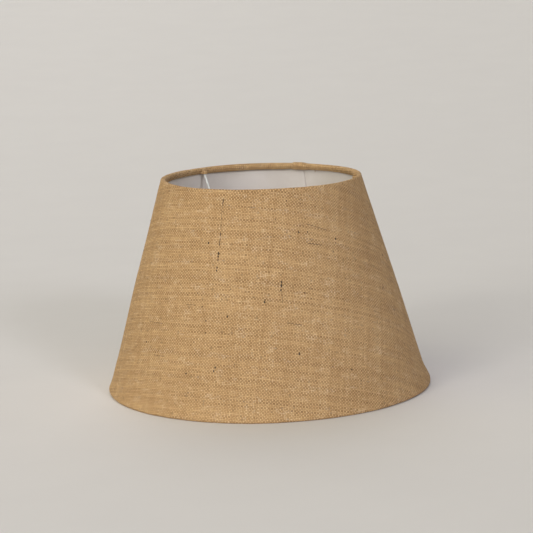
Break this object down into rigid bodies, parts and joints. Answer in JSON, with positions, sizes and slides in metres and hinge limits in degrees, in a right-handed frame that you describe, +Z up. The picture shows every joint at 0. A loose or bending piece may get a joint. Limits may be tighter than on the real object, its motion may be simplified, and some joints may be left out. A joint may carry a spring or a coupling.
{
  "type": "lamp shade",
  "caption": "Tapered round hardback lamp shade: woven natural-fibre cover on a white lining, wire rings in turned edges, and a recessed strut fitter for a screw lampholder.",
  "frame": {"origin": "centre of the bottom rim, at the level of the surface the shade stands on", "axes": "+Z up along the cone's axis, -Y towards the viewer of the picture, +X to the viewer's right"},
  "size_m": [0.3482, 0.3482, 0.23],
  "materials": {
    "jute": "plain-woven natural jute, dry and matte, with slubs and dark flecks",
    "lining": "matte white sheet",
    "white_steel": "white powder coat on steel wire and plate",
    "tape": "translucent double-sided adhesive tape"
  },
  "bodies": {
    "root": {"jute_cover": "jute", "pvc_lining": "lining", "seam_tape": "tape", "top_ring": "white_steel", "bottom_ring": "white_steel", "top_ring_tape": "tape", "bottom_ring_tape": "tape", "fitter_ring": "white_steel", "fitter_strut_1": "white_steel", "fitter_strut_2": "white_steel", "fitter_strut_3": "white_steel"}
  },
  "joints": []
}
